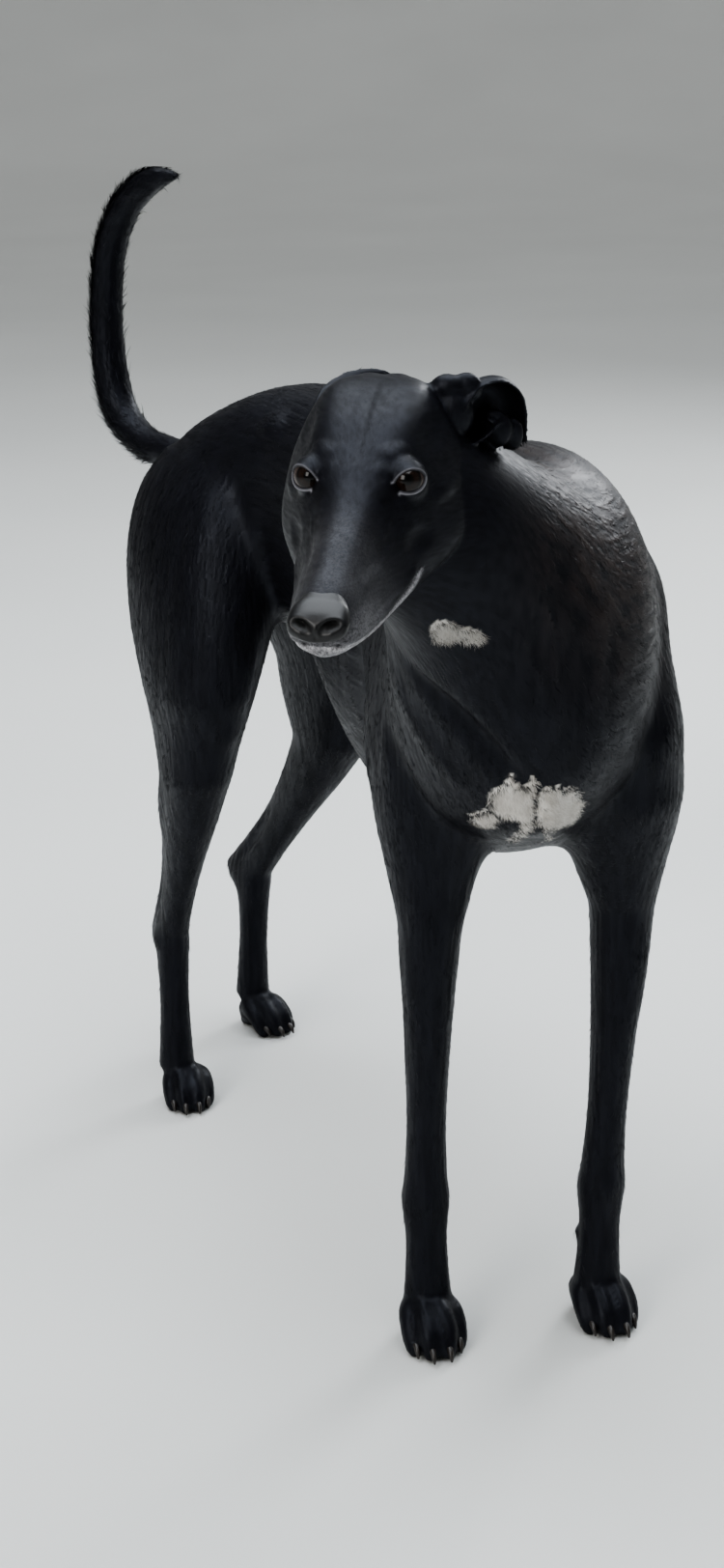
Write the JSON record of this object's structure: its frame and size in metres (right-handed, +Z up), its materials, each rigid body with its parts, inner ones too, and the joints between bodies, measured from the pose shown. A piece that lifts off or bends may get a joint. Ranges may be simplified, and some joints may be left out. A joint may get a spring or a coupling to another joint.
{
  "type": "greyhound",
  "caption": "Standing greyhound figure with a deep chest, tucked belly, slim legs, upright tail and its head turned to one side, for display as a life-size museum model.",
  "frame": {"origin": "on the floor under the middle of the model's bounding box", "axes": "+Z up, the head end towards -Y, the dog's left towards +X"},
  "size_m": [0.4342, 0.939, 0.8745],
  "materials": {
    "coat": "short smooth black coat with a soft sheen",
    "nose_leather": "moist satin",
    "eye": "polished"
  },
  "bodies": {
    "root": {"front_right_forearm": "coat", "front_right_pastern": "coat", "front_right_paw": "coat", "front_left_forearm": "coat", "front_left_pastern": "coat", "front_left_paw": "coat", "hind_right_thigh": "coat", "hind_right_shank": "coat", "hind_right_hock": "coat", "hind_right_paw": "coat", "hind_left_thigh": "coat", "hind_left_shank": "coat", "hind_left_hock": "coat", "hind_left_paw": "coat", "ear_left": "coat", "ear_right": "coat", "head": "coat", "neck": "coat", "chest": "coat", "loin": "coat", "haunches": "coat", "nose": "nose_leather", "eye_left": "eye", "eye_right": "eye", "tail_root": "coat", "tail_middle": "coat", "tail_end": "coat"}
  },
  "joints": []
}
